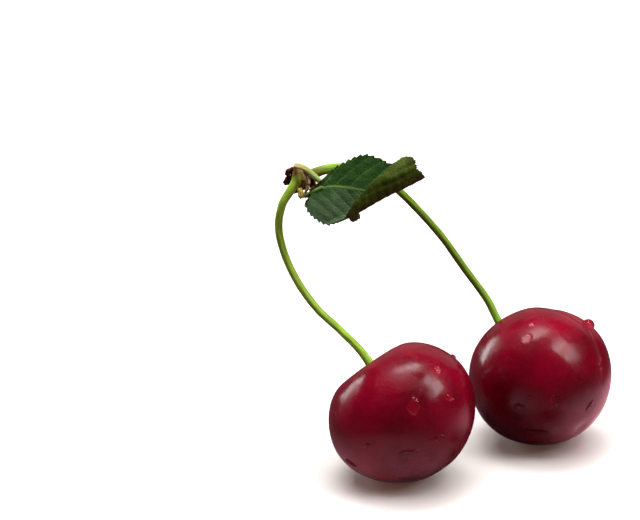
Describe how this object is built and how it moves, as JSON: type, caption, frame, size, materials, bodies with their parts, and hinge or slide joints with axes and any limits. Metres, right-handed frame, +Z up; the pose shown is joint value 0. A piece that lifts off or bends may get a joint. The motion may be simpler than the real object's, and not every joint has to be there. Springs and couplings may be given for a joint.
{
  "type": "pair of cherries on stalks",
  "caption": "Ripe dark red cherries on green stalks that meet at a woody bud base with dry scales, a barren stalk and a small rolled leaf; stands on its fruits.",
  "frame": {"origin": "bottom centre of the box round the pair, on the surface that the fruits stand on", "axes": "+Z up; +X from the joined ends of the stalks towards the fruit that stands further back; +Y away from the side that the leaf faces"},
  "size_m": [0.0564, 0.0386, 0.0517],
  "materials": {
    "fruit_skin": "glossy dark red cherry skin with fine pale flecks",
    "stalk_skin": "smooth fresh green stalk",
    "barren_stalk_skin": "pale yellow-green stalk, tan at its thick end",
    "bark": "rough brown bark with ring scars",
    "dry_scale": "dry dark brown bud scale",
    "papery_bract": "thin light brown papery bract",
    "stipule": "small yellow-green stipule",
    "leaf_blade": "dark green veined leaf, olive underneath",
    "water": "clear water drops on the skin"
  },
  "bodies": {
    "root": {"cherry_left": "fruit_skin", "cherry_right": "fruit_skin", "stalk_left": "stalk_skin", "stalk_right": "stalk_skin", "barren_stalk": "barren_stalk_skin", "bud_base": "bark", "bud_scale_1": "dry_scale", "bud_scale_2": "dry_scale", "bud_scale_3": "dry_scale", "bud_scale_4": "dry_scale", "bud_scale_5": "dry_scale", "papery_bract": "papery_bract", "stipule": "stipule", "leaf": "leaf_blade"}
  },
  "joints": []
}
